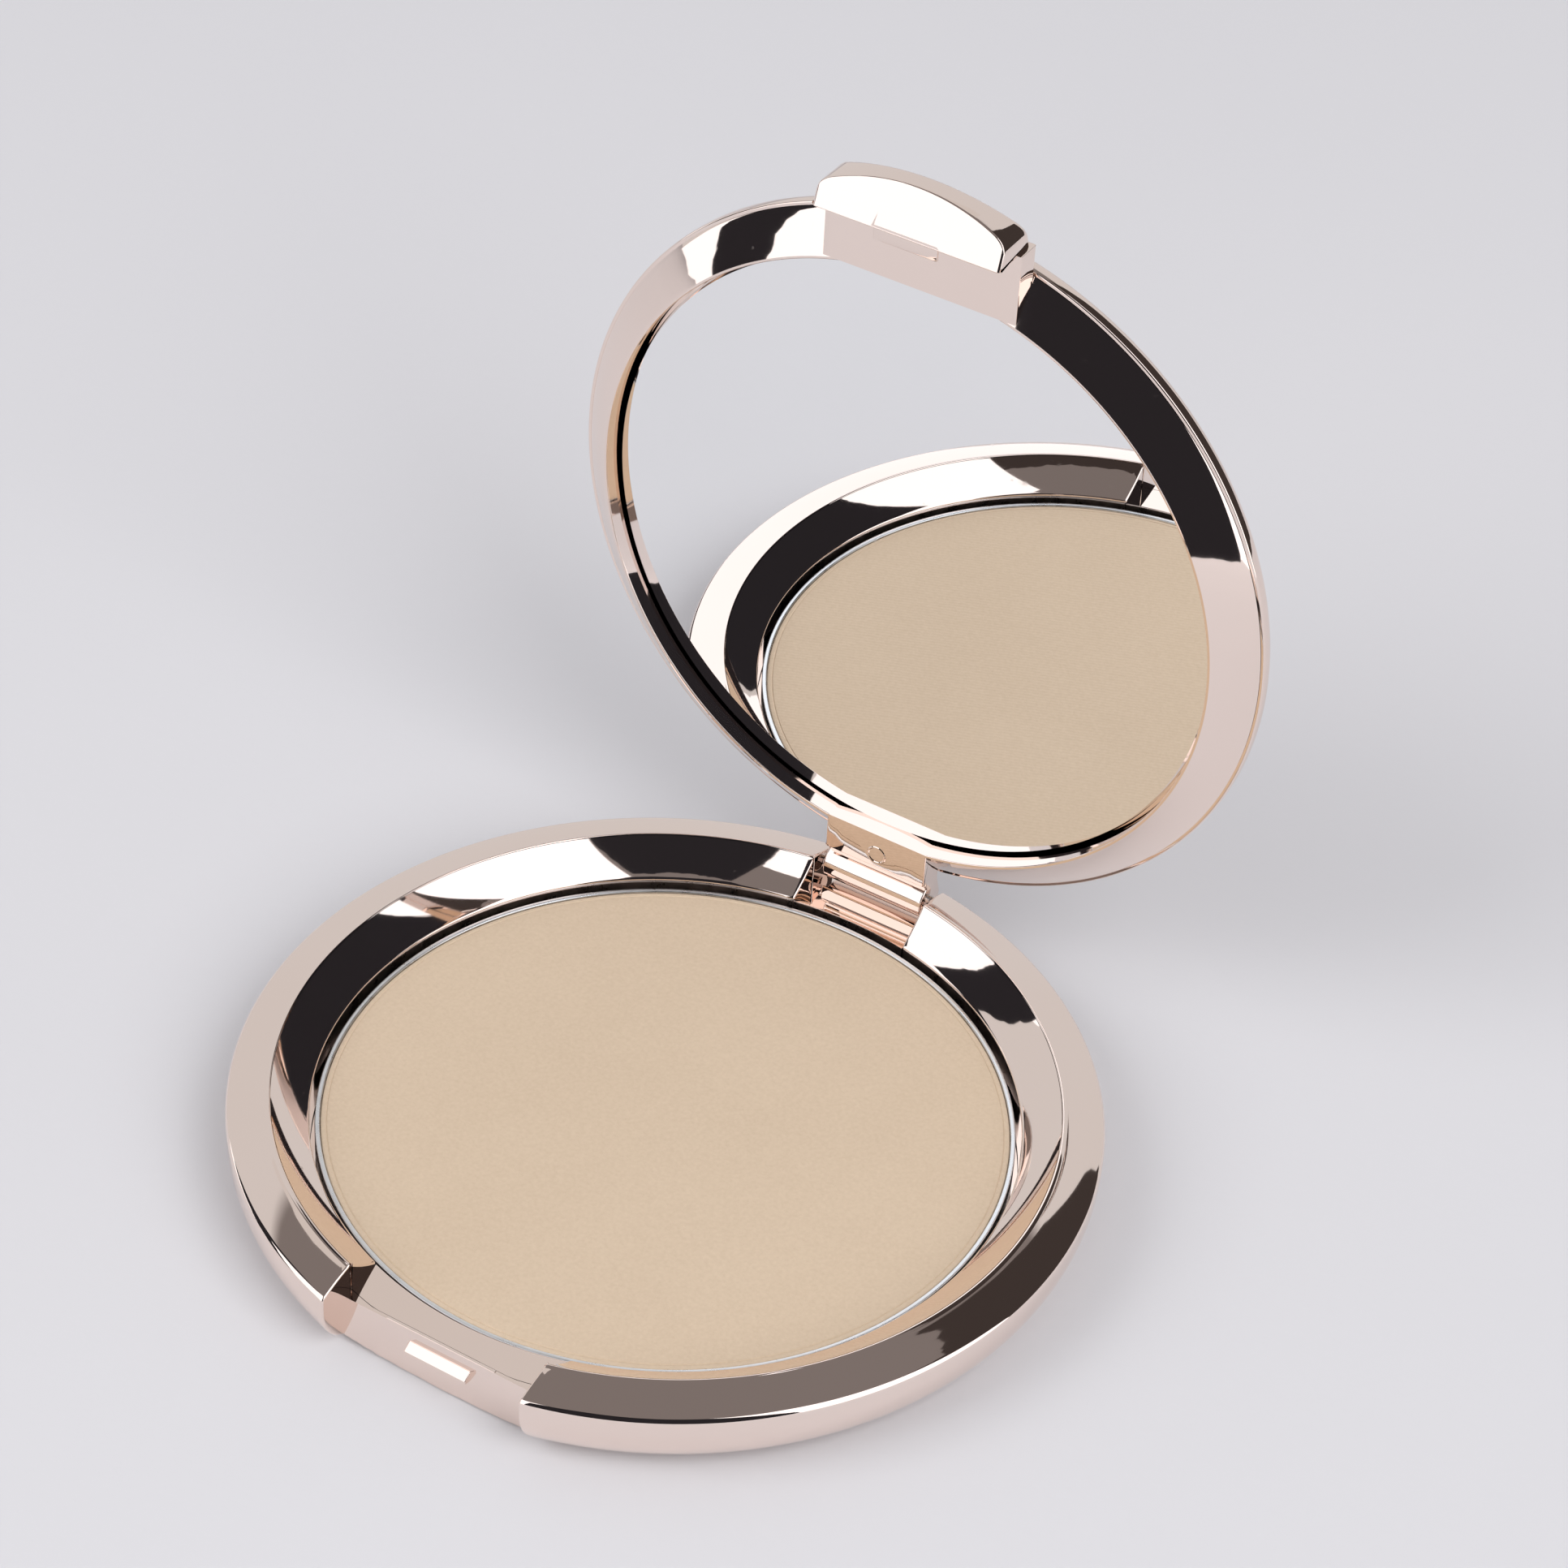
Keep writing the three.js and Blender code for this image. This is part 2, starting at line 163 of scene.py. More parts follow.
BLOCK_HALF = 8.9
BLOCK_INNER_Y = -28.2
BLOCK_TOP = LID_BAND_TOP - 0.35
TAB_HALF = 8.55
TAB_INNER_Y = -34.3
TAB_CORNER_Y = -36.4
TAB_TIP_Y = frame_low.y
TAB_FOOT = frame_low.z
TAB_ROOT_Z = 8.05
TAB_ROOT_Y = -32.2
TAB_NOSE_Z = 5.9
TAB_CORNER = 1.0
TAB_CORNER_SHARE = 0.75
TAB_FOOT_SLOPE = math.tan(math.radians(20))
HOOK_HALF = 2.9
HOOK_TIP_Y = -33.22
HOOK_TIP_Z = 2.6
HOOK_BACK_Z = 2.85
KNUCKLE_RADIUS = 1.75
KNUCKLE_HALF = 5.05
KNUCKLE_FRONT_Y = 28.7
KNUCKLE_TOP = 7.9
MARK_Y = 31.0
MARK_RISE = 0.07


def polar(radius, angle):
    return (radius * math.cos(angle), radius * math.sin(angle))


def arc(cx, cy, radius, start, end, steps):
    """Points of an arc about (cx, cy), in degrees, both ends included."""
    points = []
    for i in range(steps + 1):
        dx, dy = polar(radius, math.radians(start + (end - start) * i / steps))
        points.append((cx + dx, cy + dy))
    return points


def swell(p, q, sag, steps):
    """Points of a shallow curve from p to q that swells by sag to the left of the way."""
    dx, dy = q[0] - p[0], q[1] - p[1]
    length = math.hypot(dx, dy)
    points = []
    for i in range(steps + 1):
        t = i / steps
        lift = 4 * sag * t * (1 - t) / length
        points.append((p[0] + dx * t - dy * lift, p[1] + dy * t + dx * lift))
    return points


def filleted(corners, steps=EDGE_STEPS):
    """An outline from (x, y, radius) corners, each rounded by a tangent arc where the radius isn't 0."""
    points = []
    count = len(corners)
    for i, (x, y, radius) in enumerate(corners):
        if not radius:
            points.append((x, y))
            continue
        here = Vector((x, y))
        back = (Vector(corners[i - 1][:2]) - here).normalized()
        ahead = (Vector(corners[(i + 1) % count][:2]) - here).normalized()
        half = back.angle(ahead) / 2
        centre = here + (back + ahead).normalized() * (radius / math.sin(half))
        first = here + back * (radius / math.tan(half)) - centre
        last = here + ahead * (radius / math.tan(half)) - centre
        turn = first.angle_signed(last)
        for k in range(steps + 1):
            spoke = first.copy()
            spoke.rotate(Matrix.Rotation(-turn * k / steps, 2))
            points.append(tuple(centre + spoke))
    return points


def mesh_object(name, verts, faces):
    """A smooth object in metres from millimetre points, with doubles merged and its faces turned out."""
    mesh = bpy.data.meshes.new(name)
    mesh.from_pydata([(x * MM, y * MM, z * MM) for x, y, z in verts], [], faces)
    body = bmesh.new()
    body.from_mesh(mesh)
    bmesh.ops.remove_doubles(body, verts=body.verts, dist=WELD * MM)
    loose = [edge for edge in body.edges if not edge.link_faces]
    bmesh.ops.delete(body, geom=loose, context="EDGES")
    bmesh.ops.recalc_face_normals(body, faces=body.faces)
    if body.calc_volume(signed=True) < 0:
        bmesh.ops.reverse_faces(body, faces=body.faces)
    body.to_mesh(mesh)
    body.free()
    obj = bpy.data.objects.new(name, mesh)
    bpy.context.scene.collection.objects.link(obj)
    shade(mesh)
    return obj


def shade(mesh):
    mesh.shade_smooth()
    mesh.set_sharp_from_angle(angle=SHARP_ANGLE)


# ---- turned bodies

def plane_angle(radius, half, smallest=29.0):
    """Angle from the front or rear line at which a circle of this radius crosses the plane x = half.

    A circle under the smallest radius gets that one's angle, so that it is crossed too.
    """
    return math.asin(half / max(radius, smallest))


def turned(name, outline, columns=TURN_COLUMNS):
    """A closed body of revolution about Z from a closed (radius, height) outline."""
    verts, faces = [], []
    rows = len(outline)
    for j in range(columns):
        dx, dy = polar(1, 2 * math.pi * j / columns)
        verts += [(r * dx, r * dy, z) for r, z in outline]
    for j in range(columns):
        a, b = j * rows, ((j + 1) % columns) * rows
        for i in range(rows):
            k = (i + 1) % rows
            faces.append((a + i, b + i, b + k, a + k))
    return mesh_object(name, verts, faces)


def inward(outline, i):
    """Unit normal of a closed anticlockwise outline at point i, towards its inside."""
    before, after = outline[i - 1], outline[(i + 1) % len(outline)]
    dx, dy = after[0] - before[0], after[1] - before[1]
    length = math.hypot(dx, dy) or 1
    return (-dy / length, dx / length)


def scored(outline, levels, axis, margin=0.001):
    """The closed outline with points added where it crosses a level of radius (0) or height (1)."""
    for level in levels:
        points = []
        for i, point in enumerate(outline):
            ahead = outline[(i + 1) % len(outline)]
            points.append(point)
            rise, span = level - point[axis], ahead[axis] - point[axis]
            if span and margin < rise / span < 1 - margin:
                t = rise / span
                points.append((point[0] + (ahead[0] - point[0]) * t, point[1] + (ahead[1] - point[1]) * t))
        outline = points
    return outline


def notched(name, outline, is_hidden, front, rear):
    """A turned body whose front and rear notches have parallel walls.

    outline is a closed, anticlockwise (radius, height) loop. is_hidden tells the points that face another
    piece, which keep their place where a notch's edge is rounded. front and rear cut a point down to what
    the notch leaves of it.
    """
    verts, faces = [], []
    outline = scored(outline, (LEDGE_HEIGHT, HINGE_GAP_FLOOR), 1)
    corners = (math.hypot(POCKET_HALF, wall) for wall in (POCKET_WALL_Y, SEAM_WALL_Y))
    outline = scored(outline, corners, 0)
    hidden = {i for i, (r, z) in enumerate(outline) if is_hidden(r, z)}
    rows = len(outline)

    def column(angle_of, inset=0.0, cut=None):
        start = len(verts)
        for i, (r, z) in enumerate(outline):
            if inset and i not in hidden:
                nx, nz = inward(outline, i)
                r, z = r + nx * inset, z + nz * inset
            angle = angle_of(r)
            point = (r * math.sin(angle), -r * math.cos(angle), z)
            verts.append(cut(*point, i in hidden) if cut else point)
        return start

    def edge_columns(side, rear_end):
        """Columns that round a notch's edge, from the open side of the wall to the plain ring."""
        half = HINGE_GAP_HALF if rear_end else POCKET_HALF
        starts = []
        for k in range(EDGE_STEPS + 1):
            turn = math.pi / 2 * (1 - k / EDGE_STEPS)
            x = half + NOTCH_ROUND * (1 - math.sin(turn))
            inset = NOTCH_ROUND * (1 - math.cos(turn))

            def angle_of(r, x=x):
                a = plane_angle(r, x)
                a = math.pi - a if rear_end else a
                return a if side > 0 else 2 * math.pi - a

            starts.append(column(angle_of, inset))
        return starts

    def between(low, high):
        """Columns spread evenly between two angle functions, ends left out."""
        shares = [k / SIDE_COLUMNS for k in range(1, SIDE_COLUMNS)]
        return [column(lambda r, t=t: low(r) + (high(r) - low(r)) * t) for t in shares]

    def across(half, count, middle, cut):
        """Cut columns that each keep one x, from -half to half at the front and back again at the rear."""
        places = [half * (2 * k / count - 1) for k in range(count + 1)]
        return [column(lambda r, x=x: middle + plane_angle(r, x), cut=cut) for x in places]

    edge = NOTCH_ROUND
    right_front = edge_columns(1, False)
    right = between(
        lambda r: plane_angle(r, POCKET_HALF + edge),
        lambda r: math.pi - plane_angle(r, HINGE_GAP_HALF + edge),
    )
    right_rear = edge_columns(1, True)[::-1]
    gap = across(HINGE_GAP_HALF, GAP_COLUMNS, math.pi, rear)
    left_rear = edge_columns(-1, True)
    left = between(
        lambda r: math.pi + plane_angle(r, HINGE_GAP_HALF + edge),
        lambda r: 2 * math.pi - plane_angle(r, POCKET_HALF + edge),
    )
    left_front = edge_columns(-1, False)[::-1]
    pocket = across(POCKET_HALF, FRONT_COLUMNS, 0.0, front)
    loop = right_front + right + right_rear + gap + left_rear + left + left_front + pocket
    for j, a in enumerate(loop):
        b = loop[(j + 1) % len(loop)]
        for i in range(rows):
            k = (i + 1) % rows
            faces.append((a + i, b + i, b + k, a + k))
    return mesh_object(name, verts, faces)


# ---- lofted bodies, drawn as (y, z) outlines across X

def lofted(name, outline_at, half, edge, stations=24):
    """A closed body from x = -half to half with rounded end edges. outline_at(x) is its (y, z) loop."""
    places = []
    for k in range(EDGE_STEPS + 1):
        turn = math.pi / 2 * k / EDGE_STEPS
        places.append((-half + edge * (1 - math.cos(turn)), edge * (1 - math.sin(turn))))
    middle = half - edge
    flat = [(-middle * math.cos(math.pi * k / stations), 0.0) for k in range(1, stations)]
    places = places + flat + [(-x, inset) for x, inset in reversed(places)]
    verts, faces = [], []
    for x, inset in places:
        outline = outline_at(x)
        for i, (y, z) in enumerate(outline):
            ny, nz = inward(outline, i)
            verts.append((x, y + ny * inset, z + nz * inset))
    rows = len(verts) // len(places)
    for j in range(len(places) - 1):
        a, b = j * rows, (j + 1) * rows
        for i in range(rows):
            k = (i + 1) % rows
            faces.append((a + i, b + i, b + k, a + k))
    faces.append(tuple(range(rows)))
    last = (len(places) - 1) * rows
    faces.append(tuple(last + i for i in reversed(range(rows))))
    return mesh_object(name, verts, faces)


def joined(target, *others):
    """The union of target and the others as one mesh."""
    for other in others:
        step = target.modifiers.new("join", "BOOLEAN")
        step.operation = "UNION"
        step.solver = "MANIFOLD"
        step.object = other
        bpy.context.view_layer.update()
        evaluated = target.evaluated_get(bpy.context.evaluated_depsgraph_get())
        mesh = bpy.data.meshes.new_from_object(evaluated)
        target.modifiers.clear()
        old = target.data
        target.data = mesh
        mesh.name = target.name
        bpy.data.meshes.remove(old)
        bpy.data.objects.remove(other)
    shade(target.data)
    return target


def opened(obj):
    """Turns a body drawn with the lid shut to where the open lid holds it."""
    obj.data.transform(about_hinge(OPEN_ANGLE))
    return obj


# ---- base

def case_band():
    """The rounded rim, the sloping band and the crest, from outside to inside."""
    aim = (CREST_RADIUS + 0.3, CREST_HEIGHT - 0.08)
    band_end = (CREST_RADIUS + 0.2, CREST_HEIGHT - 0.05)
    rim = filleted([(RIM_RADIUS, SIDE_TOP, 0), (RIM_RADIUS, RIM_HEIGHT, RIM_ROUND), (*aim, 0)], 8)[1:-1]
    top = swell(rim[-1], band_end, -BAND_SAG, 14)[1:]
    crest = arc(CREST_ROUND_CENTRE, CREST_HEIGHT - CREST_ROUND, CREST_ROUND, 75, 150, 5)
    return rim + top + crest


def base_shell():
    bowl = arc(RIM_RADIUS - BOWL_ROUNDING, BOWL_ROUNDING, BOWL_ROUNDING, -90, 0, 28)
    skin = [(0, 0), (MID_FLOOR, 0)] + bowl + [(RIM_RADIUS, SIDE_TOP)] + case_band()
    inner = [
        (SEAM_RADIUS + SEAM_TAPER, SHELF),
        (TRAY_BORE, SHELF),
        (TRAY_BORE, TRAY_FLOOR),
        (MID_FLOOR, TRAY_FLOOR),
        (0, TRAY_FLOOR),
    ]

    def is_hidden(r, z):
        """Tells the tray's inside from the skin, whose floor counts as inside only near its middle."""
        in_tray = z > 1 or r < 25
        return r < SEAM_RADIUS + 2 * SEAM_TAPER and in_tray and z < CREST_HEIGHT - 0.5

    def front(x, y, z, inner):
        return (x, max(y, SEAM_WALL_Y if inner else POCKET_WALL_Y), min(z, LEDGE_HEIGHT))

    def rear(x, y, z, inner):
        return (x, y, min(z, HINGE_GAP_FLOOR))

    shell = notched("base_shell_body", skin + inner, is_hidden, front, rear)
    return joined(shell, catch_rib(), ledge_lip())


def catch_rib():
    """The bar that the lid's hook snaps under."""
    outline = filleted(
        [
            (POCKET_WALL_Y + 0.2, RIB_FOOT, 0),
            (POCKET_WALL_Y - 0.1, RIB_FOOT, 0),
            (POCKET_WALL_Y - RIB_DEPTH, RIB_FOOT + 0.15, 0.1),
            (POCKET_WALL_Y - RIB_DEPTH, RIB_TOP - 0.5, 0.12),
            (POCKET_WALL_Y - 0.05, RIB_TOP, 0),
            (POCKET_WALL_Y + 0.2, RIB_TOP, 0),
        ][::-1]
    )
    return lofted("rib", lambda x: outline, RIB_HALF, 0.08, 4)


def ledge_lip():
    """The low ridge along the middle of the landing ledge's front edge."""
    face, back = POCKET_WALL_Y + 0.01, POCKET_WALL_Y + LIP_BACK
    root, top = LEDGE_HEIGHT - LIP_ROOT, LEDGE_HEIGHT + LIP_RISE
    outline = filleted([(back, root, 0), (back, top, 0.04), (face, top, 0.04), (face, root, 0)])
    return lofted("lip", lambda x: outline, LIP_HALF, 0.05, 4)


def base_frame():
    """The ring with the hollow cove, which the well's rounded edge ends."""
    edge = SEAM_RADIUS - SEAM_TAPER
    centre = WELL_RADIUS + WELL_ROUND
    foot = (centre - WELL_ROUND * math.sin(WELL_SLOPE), WELL_HEIGHT + 0.02)
    cove = swell((edge - 0.01, SEAM_TOP), foot, COVE_SAG, 28)
    rounding_height = foot[1] - WELL_ROUND * math.cos(WELL_SLOPE)
    rounding = arc(centre, rounding_height, WELL_ROUND, 90 + math.degrees(WELL_SLOPE), 180, 5)[1:]
    outline = [
        (SKIRT_RADIUS, SKIRT_FOOT),
        (SKIRT_RADIUS, SHELF + SHELF_GAP),
        (edge, SHELF + SHELF_GAP),
        *cove,
        *rounding,
        (WELL_RADIUS, SKIRT_FOOT),
    ]

    def is_hidden(r, z):
        return z < SHELF + 0.1 or (r > edge - 0.011 and z < CREST_HEIGHT - 0.2)

    def front(x, y, z, inner):
        return (x, max(y, SEAM_WALL_Y + SEAM_TAPER), min(z, LEDGE_HEIGHT))

    def rear(x, y, z, inner):
        return (x, y, min(z, LEDGE_HEIGHT))

    return notched("base_frame_body", outline, is_hidden, front, rear)


def powder_pan():
    inner_radius = PAN_RADIUS - PAN_WALL
    wall = PAN_RIM - 1
    outer = filleted([(PAN_RADIUS, wall, 0), (PAN_RADIUS, PAN_RIM, 0.12), (inner_radius, PAN_RIM, 0)])[1:-1]
    inner = filleted([(PAN_RADIUS, PAN_RIM, 0), (inner_radius, PAN_RIM, 0.14), (inner_radius, wall, 0)])[1:-1]
    outline = [
        (0, PAN_FLOOR),
        *arc(PAN_RADIUS - PAN_CORNER, PAN_FLOOR + PAN_CORNER, PAN_CORNER, -90, 0, 6),
        *outer,
        *inner,
        (inner_radius, PAN_FLOOR + PAN_WALL),
        (0, PAN_FLOOR + PAN_WALL),
    ]
    return turned("powder_pan_body", outline)


def powder_cake():
    """The pressed cake: nearly flat, with the groove and worn edge that pressing leaves by the pan's rim."""
    outline = [(0, CAKE_BOTTOM), (CAKE_RADIUS, CAKE_BOTTOM), (CAKE_RADIUS, CAKE_TOP - 0.28)]
    outline += arc(CAKE_RADIUS - 0.2, CAKE_TOP - 0.25, 0.2, 0, 80, 4)
    outline += [
        (CAKE_RADIUS - 0.42, CAKE_TOP - 0.05),
        (CAKE_RADIUS - 0.5, CAKE_TOP - 0.1),
        (CAKE_RADIUS - 0.58, CAKE_TOP - 0.03),
        (CAKE_RADIUS - 0.8, CAKE_TOP),
    ]
    outline += [(r, CAKE_TOP + CAKE_DOME * (1 - (r / CAKE_RADIUS) ** 2)) for r in (27, 24, 20, 15, 10, 5, 0)]
    return turned("powder_cake_body", outline)


# ---- lid, drawn shut

def lid_ring():
    """The sloping band with the mirror's recess and the plate behind it."""
    beyond = (LID_CREST_RADIUS + 1, LID_FACE, 0)
    recess = filleted([(RECESS_RADIUS, PLATE_BOTTOM, 0), (RECESS_RADIUS, LID_FACE, 0.08), beyond])[1:-1]
    band_end = (LID_BAND_RADIUS - 0.1, LID_BAND_TOP - 0.12)
    band = swell((LID_CREST_RADIUS, LID_FACE), band_end, -LID_BAND_SAG, 16)
    outline = [
        (0, PLATE_BOTTOM),
        (RECESS_RADIUS, PLATE_BOTTOM),
        *recess,
        (LID_CREST_RADIUS - 0.08, LID_FACE),
        *band,
        (LID_BAND_RADIUS, LID_BAND_TOP),
        (PLATE_RADIUS, LID_BAND_TOP + 0.03),
        (PLATE_RADIUS, PLATE_TOP),
        (0, PLATE_TOP),
    ]
    return turned("lid_frame_body", outline)


def landing_block():
    """The flat block that lands on the base's ledge."""
    outer = TAB_INNER_Y - 0.2
    outline = [(outer, LID_FACE), (BLOCK_INNER_Y, LID_FACE), (BLOCK_INNER_Y, BLOCK_TOP), (outer, BLOCK_TOP)]
    return lofted("block", lambda x: outline, BLOCK_HALF, 0.14, 6)


def tab_front(x):
    """Where the tab's bowed nose lies at this distance from the middle, with round corners in plan."""
    rise = TAB_CORNER_Y - TAB_TIP_Y
    bow = (TAB_HALF**2 + rise**2) / (2 * rise)
    y = TAB_TIP_Y + bow - math.sqrt(bow * bow - x * x)
    over = min(max(0.0, abs(x) - (TAB_HALF - TAB_CORNER)) / TAB_CORNER, 1.0)
    return y + TAB_CORNER * (1 - math.sqrt(1 - over**2)) * TAB_CORNER_SHARE


def tab_outline(x):
    front = tab_front(x)
    slope = (TAB_ROOT_Z - TAB_NOSE_Z) / (TAB_ROOT_Y - TAB_TIP_Y)
    nose = TAB_NOSE_Z + slope * (front - TAB_TIP_Y)
    return filleted(
        [
            (TAB_INNER_Y, TAB_FOOT, 0.08),
            (TAB_INNER_Y, LID_FACE + 0.05, 0),
            (TAB_ROOT_Y, LID_FACE + 0.05, 0),
            (TAB_ROOT_Y, TAB_ROOT_Z, 0),
            (front, nose, 0.75),
            (front, TAB_FOOT + (TAB_INNER_Y - front) * TAB_FOOT_SLOPE, 0.3),
        ],
        6,
    )


def latch_hook():
    """The wedge inside the tab that snaps under the base's bar."""
    sunk = TAB_INNER_Y - 0.3
    foot = TAB_FOOT + 0.1
    outline = filleted(
        [
            (sunk, foot, 0),
            (TAB_INNER_Y, foot, 0),
            (HOOK_TIP_Y, HOOK_TIP_Z, 0.06),
            (HOOK_TIP_Y, HOOK_BACK_Z, 0.06),
            (sunk, HOOK_BACK_Z, 0),
        ]
    )
    return lofted("hook", lambda x: outline, HOOK_HALF, 0.08, 4)


def knuckle_block():
    """Flat block behind the mirror's rim that necks down into the knuckle on the pin."""
    face_start = (KNUCKLE_FRONT_Y, LID_FACE, 0)
    outline = [
        (KNUCKLE_FRONT_Y, LID_FACE),
        *filleted([face_start, (32.35, LID_FACE, 0.12), (32.6, LID_FACE + 0.35, 0)])[1:-1],
        *arc(32.62, LID_FACE + 0.85, 0.42, 215, 330, 5)[1:],
        *arc(HINGE_Y, HINGE_Z, KNUCKLE_RADIUS, 205, 450, 26),
        (33.0, KNUCKLE_TOP),
        (KNUCKLE_FRONT_Y, KNUCKLE_TOP),
    ]
    return lofted("knuckle", lambda x: outline, KNUCKLE_HALF, 0.16, 4)


def ejector_mark():
    """The shallow round ridge that a moulding pin leaves on the hinge block."""
    sunk, crest = LID_FACE + 0.1, LID_FACE - MARK_RISE
    outline = [(0.72, sunk), (0.72, LID_FACE), (0.79, crest), (0.88, crest), (0.95, LID_FACE), (0.95, sunk)]
    ring = turned("mark", outline, 48)
    ring.data.transform(Matrix.Translation((0.15 * MM, MARK_Y * MM, 0)))
    return ring


def lid_frame():
    tab = lofted("tab", tab_outline, TAB_HALF, 0.3, 40)
    body = joined(lid_ring(), landing_block(), tab, latch_hook(), knuckle_block(), ejector_mark())
    return opened(body)


def lid_cover():
    """The lid's outer skin, with a domed back."""
    shoulder = COVER_RADIUS - COVER_ROUND
    rise = COVER_CROWN - COVER_SHOULDER
    dome = (shoulder**2 + rise**2) / (2 * rise)
    spread = math.degrees(math.asin(shoulder / dome))
    side = (COVER_RADIUS, COVER_SHOULDER - COVER_ROUND, 0)
    outline = [
        (0, COVER_CEILING),
        (COVER_INNER, COVER_CEILING),
        (COVER_INNER, COVER_FOOT + 0.02),
        *filleted([(COVER_INNER, COVER_FOOT, 0), (COVER_RADIUS, COVER_FOOT, 0.16), side])[1:-1],
        *arc(shoulder, COVER_SHOULDER - COVER_ROUND, COVER_ROUND, 0, 90 - spread, 12),
        *arc(0, COVER_CROWN - dome, dome, 90 - spread, 90, 24)[1:],
    ]
    return opened(turned("lid_cover_body", outline))


def mirror():
    outline = [
        (0, MIRROR_BACK),
        (0, MIRROR_FACE),
        (MIRROR_RADIUS - 0.2, MIRROR_FACE),
        (MIRROR_RADIUS, MIRROR_FACE + 0.2),
        (MIRROR_RADIUS, MIRROR_BACK),
    ]
    return opened(turned("mirror_body", outline))


# ---- materials

def add_node(tree, kind, **settings):
    """A new node, with each setting put in its input of that name or else on the node itself."""
    node = tree.nodes.new(kind)
    for key, value in settings.items():
        if key in node.inputs:
            node.inputs[key].default_value = value
        else:
            setattr(node, key, value)
    return node


class Nodes:
    """A material's node tree with its shader, built by short calls."""

    def __init__(self, name):
        self.material = bpy.data.materials.new(name)
        self.material.use_nodes = True
        self.tree = self.material.node_tree
        self.shader = self.tree.nodes["Principled BSDF"]

    def add(self, kind, **settings):
        return add_node(self.tree, kind, **settings)

    def link(self, source, target):
        self.tree.links.new(source, target)

    def set(self, **values):
        """Puts a constant in each shader input, named with underscores for spaces."""
        for key, value in values.items():
            self.shader.inputs[key.replace("_", " ")].default_value = value

    def feed(self, name, source):
        self.link(source, self.shader.inputs[name])

    def coordinates(self):
        return self.add("ShaderNodeTexCoord").outputs["Object"]

    def noise(self, scale, detail=3.0, roughness=0.5, at=None):
        node = self.add("ShaderNodeTexNoise", Scale=scale, Detail=detail, Roughness=roughness)
        self.link(at or self.coordinates(), node.inputs["Vector"])
        return node.outputs["Fac"]

    def ramp(self, value, stops):
        """A colour ramp over value, from (position, colour or grey) stops."""
        node = self.add("ShaderNodeValToRGB")
        self.link(value, node.inputs["Fac"])
        elements = node.color_ramp.elements
        while len(elements) < len(stops):
            elements.new(0.5)
        for element, (position, colour) in zip(elements, stops):
            element.position = position
            element.color = (*colour, 1) if isinstance(colour, tuple) else (colour, colour, colour, 1)
        return node.outputs["Color"]

    def bump(self, height, distance, strength=1.0):
        node = self.add("ShaderNodeBump", Strength=strength, Distance=distance * MM)
        self.link(height, node.inputs["Height"])
        self.feed("Normal", node.outputs["Normal"])


def plated():
    """Pale rose gold vacuum plating on moulded plastic: mirror gloss with faint flow and pinhole dust."""
    n = Nodes("rose_gold_plating")
    n.set(Metallic=1.0)
    tone = n.ramp(n.noise(40.0, 2.0), [(0.3, (0.905, 0.765, 0.69)), (0.7, (0.92, 0.785, 0.715))])
    n.feed("Base Color", tone)
    dust = n.ramp(n.noise(900.0, 2.0, 0.6), [(0.72, 0.035), (0.8, 0.16)])
    n.feed("Roughness", dust)
    n.bump(n.noise(160.0, 1.0), 0.004, 0.5)
    return n.material


def aluminium():
    n = Nodes("pan_aluminium")
    n.set(Metallic=1.0)
    grain = n.noise(500.0, 4.0, 0.6)
    n.feed("Base Color", n.ramp(grain, [(0.3, (0.72, 0.73, 0.74)), (0.7, (0.88, 0.89, 0.9))]))
    n.feed("Roughness", n.ramp(grain, [(0.3, 0.22), (0.7, 0.38)]))
    n.bump(grain, 0.02, 0.5)
    return n.material


def steel():
    n = Nodes("pin_steel")
    n.set(Metallic=1.0)
    grain = n.noise(700.0, 3.0)
    n.feed("Base Color", n.ramp(grain, [(0.3, (0.6, 0.61, 0.62)), (0.7, (0.75, 0.76, 0.77))]))
    n.feed("Roughness", n.ramp(grain, [(0.3, 0.2), (0.7, 0.35)]))
    return n.material


def adhesive():
    n = Nodes("adhesive_film")
    n.feed("Base Color", n.ramp(n.noise(300.0), [(0.3, (0.78, 0.77, 0.72)), (0.7, (0.86, 0.85, 0.81))]))
    n.set(Roughness=0.7)
    return n.material


def powder():
    """Pressed powder: matte, with the slanting weave that the press cloth leaves and a fine grain."""
    n = Nodes("pressed_powder")
    where = n.coordinates()
    turn = n.add("ShaderNodeMapping")
    turn.inputs["Rotation"].default_value = (0, 0, math.radians(112))
    n.link(where, turn.inputs["Vector"])
    weave = n.add("ShaderNodeTexWave", wave_type="BANDS", bands_direction="X", Scale=780.0)
    weave.inputs["Distortion"].default_value = 1.2
    weave.inputs["Detail"].default_value = 1.0
    n.link(turn.outputs["Vector"], weave.inputs["Vector"])
    grain = n.noise(2600.0, 4.0, 0.65, where)
    cloud = n.noise(90.0, 3.0, 0.5, where)
    mixed = n.add("ShaderNodeMix", data_type="FLOAT")
    mixed.inputs["Factor"].default_value = 0.2
    n.link(grain, mixed.inputs["A"])
    n.link(weave.outputs["Fac"], mixed.inputs["B"])
    blend = n.add("ShaderNodeMix", data_type="FLOAT")
    blend.inputs["Factor"].default_value = 0.75
    n.link(cloud, blend.inputs["A"])
    n.link(grain, blend.inputs["B"])
    colour = n.ramp(blend.outputs["Result"], [(0.3, (0.57, 0.445, 0.325)), (0.7, (0.635, 0.505, 0.375))])
    n.feed("Base Color", colour)
    n.set(Roughness=0.9, Specular_IOR_Level=0.2)
    n.bump(mixed.outputs["Result"], 0.05, 0.55)
    return n.material


